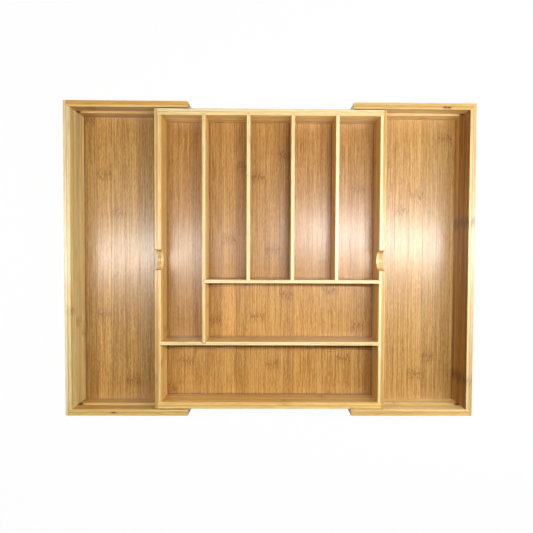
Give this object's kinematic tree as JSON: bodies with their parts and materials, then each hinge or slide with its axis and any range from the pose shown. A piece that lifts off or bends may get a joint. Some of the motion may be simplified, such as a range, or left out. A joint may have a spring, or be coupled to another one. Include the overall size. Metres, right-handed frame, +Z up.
{
  "type": "expandable cutlery tray",
  "caption": "Expandable bamboo cutlery tray for a drawer: a divided middle tray with finger notches between side wings that slide out to fill the drawer's width.",
  "frame": {"origin": "middle of the footprint with both wings pulled out, on the surface that the wings stand on", "axes": "+X to the right wing, +Y to the back, +Z up out of the compartments"},
  "size_m": [0.581, 0.445, 0.056],
  "materials": {
    "wall_bamboo": "satin lacquer",
    "divider_bamboo": "satin lacquer",
    "tray_floor_bamboo": "satin lacquer",
    "wing_floor_bamboo": "satin lacquer",
    "slide_block_bamboo": "bare, sanded",
    "corner_pin": "bright wire"
  },
  "bodies": {
    "tray": {"tray_floor": "tray_floor_bamboo", "tray_left_wall": "wall_bamboo", "tray_right_wall": "wall_bamboo", "tray_back_wall": "wall_bamboo", "tray_front_wall": "wall_bamboo", "long_divider": "divider_bamboo", "short_divider_1": "divider_bamboo", "short_divider_2": "divider_bamboo", "short_divider_3": "divider_bamboo", "middle_cross_divider": "divider_bamboo", "front_cross_divider": "divider_bamboo", "left_back_slide_block": "slide_block_bamboo", "left_front_slide_block": "slide_block_bamboo", "right_back_slide_block": "slide_block_bamboo", "right_front_slide_block": "slide_block_bamboo", "tray_corner_pins": "corner_pin"},
    "left_wing": {"left_wing_floor": "wing_floor_bamboo", "left_wing_end_wall": "wall_bamboo", "left_wing_back_rail": "wall_bamboo", "left_wing_front_rail": "wall_bamboo", "left_wing_corner_pins": "corner_pin"},
    "right_wing": {"right_wing_floor": "wing_floor_bamboo", "right_wing_end_wall": "wall_bamboo", "right_wing_back_rail": "wall_bamboo", "right_wing_front_rail": "wall_bamboo", "right_wing_corner_pins": "corner_pin"}
  },
  "joints": [
    {"name": "left_wing_slide", "type": "slide", "parent": "tray", "child": "left_wing", "axis": [1, 0, 0], "range_m": [0, 0.1155]},
    {"name": "right_wing_slide", "type": "slide", "parent": "tray", "child": "right_wing", "axis": [-1, 0, 0], "range_m": [0, 0.1155]}
  ]
}
